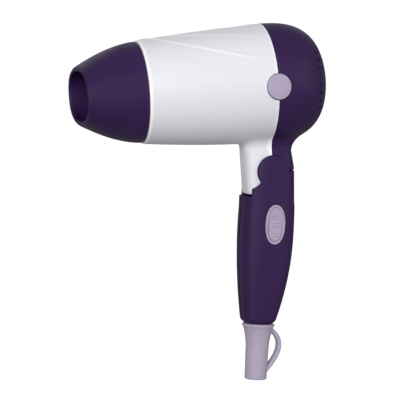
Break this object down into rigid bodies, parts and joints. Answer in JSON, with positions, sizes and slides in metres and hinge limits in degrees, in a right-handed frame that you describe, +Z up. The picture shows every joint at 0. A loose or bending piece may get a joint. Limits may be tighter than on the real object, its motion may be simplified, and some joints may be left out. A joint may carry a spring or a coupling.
{
  "type": "travel hair dryer",
  "caption": "Small hair dryer with a folding handle, an oval air outlet, a domed back with intake slots, a side button and a cord sleeve with a hanging loop.",
  "frame": {"origin": "centre of the air outlet, on the barrel's axis", "axes": "+X along the barrel from the outlet to the back, +Z up, the open handle hangs below; +Y is the side without the switch"},
  "size_m": [0.1445, 0.0703, 0.2083],
  "materials": {
    "purple_shell": "dark purple ABS, satin",
    "white_shell": "white ABS, polished",
    "lilac_trim": "lilac ABS, fine matt",
    "lilac_sleeve": "lilac soft PVC, matt",
    "dark_nylon": "dark nylon, as moulded",
    "white_nylon": "white nylon",
    "steel": "zinc plated steel",
    "motor_case": "rolled steel can",
    "heater_wire": "nickel chrome wire",
    "mica": "pressed mica board",
    "aluminium": "plain aluminium",
    "lead_sleeve": "silicone wire sleeve",
    "circuit_board": "coated board"
  },
  "bodies": {
    "handle": {"handle_left": "purple_shell", "handle_right": "purple_shell", "hinge_pin": "steel", "hinge_washers": "steel", "switch_bezel": "lilac_trim", "slide_switch": "dark_nylon", "switch_leads": "lead_sleeve", "cord_clamp": "white_nylon", "clamp_screws": "steel", "strain_relief": "lilac_sleeve", "handle_screws": "steel"},
    "barrel": {"front_housing": "white_shell", "rear_housing": "purple_shell", "nozzle_grille": "dark_nylon", "lint_screen": "steel", "button_switch": "dark_nylon", "button_spring": "steel", "housing_screw": "steel", "heat_tube": "mica", "mica_cross": "mica", "heater_coils": "heater_wire", "thermostat": "aluminium", "thermal_fuse": "aluminium", "stator": "dark_nylon", "motor": "motor_case", "motor_screws": "steel", "rectifier_board": "circuit_board"},
    "nozzle": {"nozzle": "purple_shell"},
    "cool_button": {"cool_button": "lilac_trim"},
    "switch_slider": {"switch_slider": "lilac_trim"},
    "rotor": {"motor_shaft": "steel", "impeller": "dark_nylon"}
  },
  "joints": [
    {"name": "handle_fold", "type": "hinge", "parent": "handle", "child": "barrel", "pos_m": [0.1095, 0, -0.0512], "axis": [0, -1, 0], "range_deg": [0, 80]},
    {"name": "nozzle_turn", "type": "hinge", "parent": "barrel", "child": "nozzle", "pos_m": [0, 0, 0], "axis": [1, 0, 0], "continuous": true},
    {"name": "cool_press", "type": "slide", "parent": "barrel", "child": "cool_button", "axis": [0, 1, 0], "range_m": [0, 0.0015], "stiffness_N_per_m": 300, "springref_m": -0.0005, "deforming": ["button_spring"]},
    {"name": "switch_slide", "type": "slide", "parent": "handle", "child": "switch_slider", "axis": [0.1184, 0, 0.993], "range_m": [0, 0.0046]},
    {"name": "fan_spin", "type": "hinge", "parent": "barrel", "child": "rotor", "pos_m": [0.1095, 0, 0], "axis": [1, 0, 0], "continuous": true}
  ]
}
